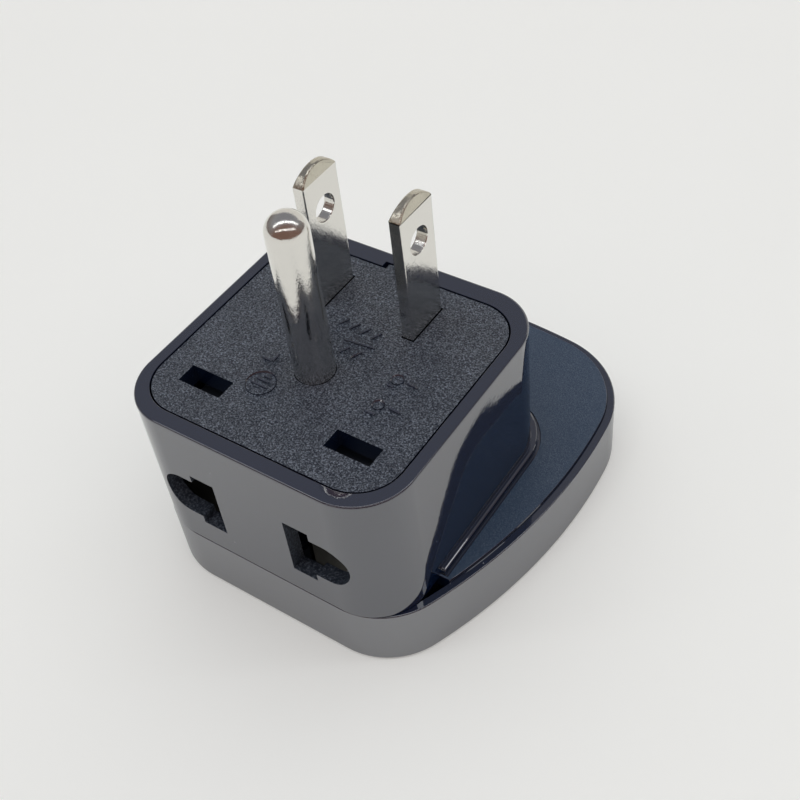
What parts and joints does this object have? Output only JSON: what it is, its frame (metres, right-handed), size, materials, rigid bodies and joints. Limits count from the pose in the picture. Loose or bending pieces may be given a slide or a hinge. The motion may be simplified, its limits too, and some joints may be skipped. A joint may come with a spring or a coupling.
{
  "type": "universal travel adapter",
  "caption": "Black travel adapter: grounded flat-blade plug on a cube housing, keyhole socket in its front wall and a universal socket under a wide rounded base.",
  "frame": {"origin": "under the middle of the socket face, at the centre of the bounding box's bottom", "axes": "+Z out of the plug along its pins, -Y out of the side socket, -Z out of the lower socket, X across the pins"},
  "size_m": [0.0502, 0.0526, 0.0514],
  "materials": {
    "housing_plastic": "smooth, slightly glossy black moulded plastic",
    "plate_plastic": "spark-textured black moulded plastic",
    "base_plastic": "smooth, slightly glossy black moulded plastic",
    "inner_plastic": "plain black moulded insulator",
    "nickel_plate": "bright nickel plating on brass pins",
    "contact_strip": "stamped and bent bronze strip, dull nickel plating",
    "contact_rivet": "headed brass rivets",
    "zinc_steel": "zinc-plated steel screws"
  },
  "bodies": {
    "root": {"upper_housing": "housing_plastic", "plug_plate": "plate_plastic", "socket_base": "base_plastic", "contact_carrier": "inner_plastic", "pin_retainer": "inner_plastic", "live_blade": "nickel_plate", "neutral_blade": "nickel_plate", "ground_pin": "nickel_plate", "live_bus": "contact_strip", "neutral_bus": "contact_strip", "live_clip": "contact_strip", "neutral_clip": "contact_strip", "earth_clip": "contact_strip", "live_blade_rivet": "contact_rivet", "neutral_blade_rivet": "contact_rivet", "live_clip_rivet": "contact_rivet", "neutral_clip_rivet": "contact_rivet", "case_screw_front": "zinc_steel", "case_screw_left": "zinc_steel", "case_screw_right": "zinc_steel", "retainer_screw_left": "zinc_steel", "retainer_screw_right": "zinc_steel"}
  },
  "joints": []
}
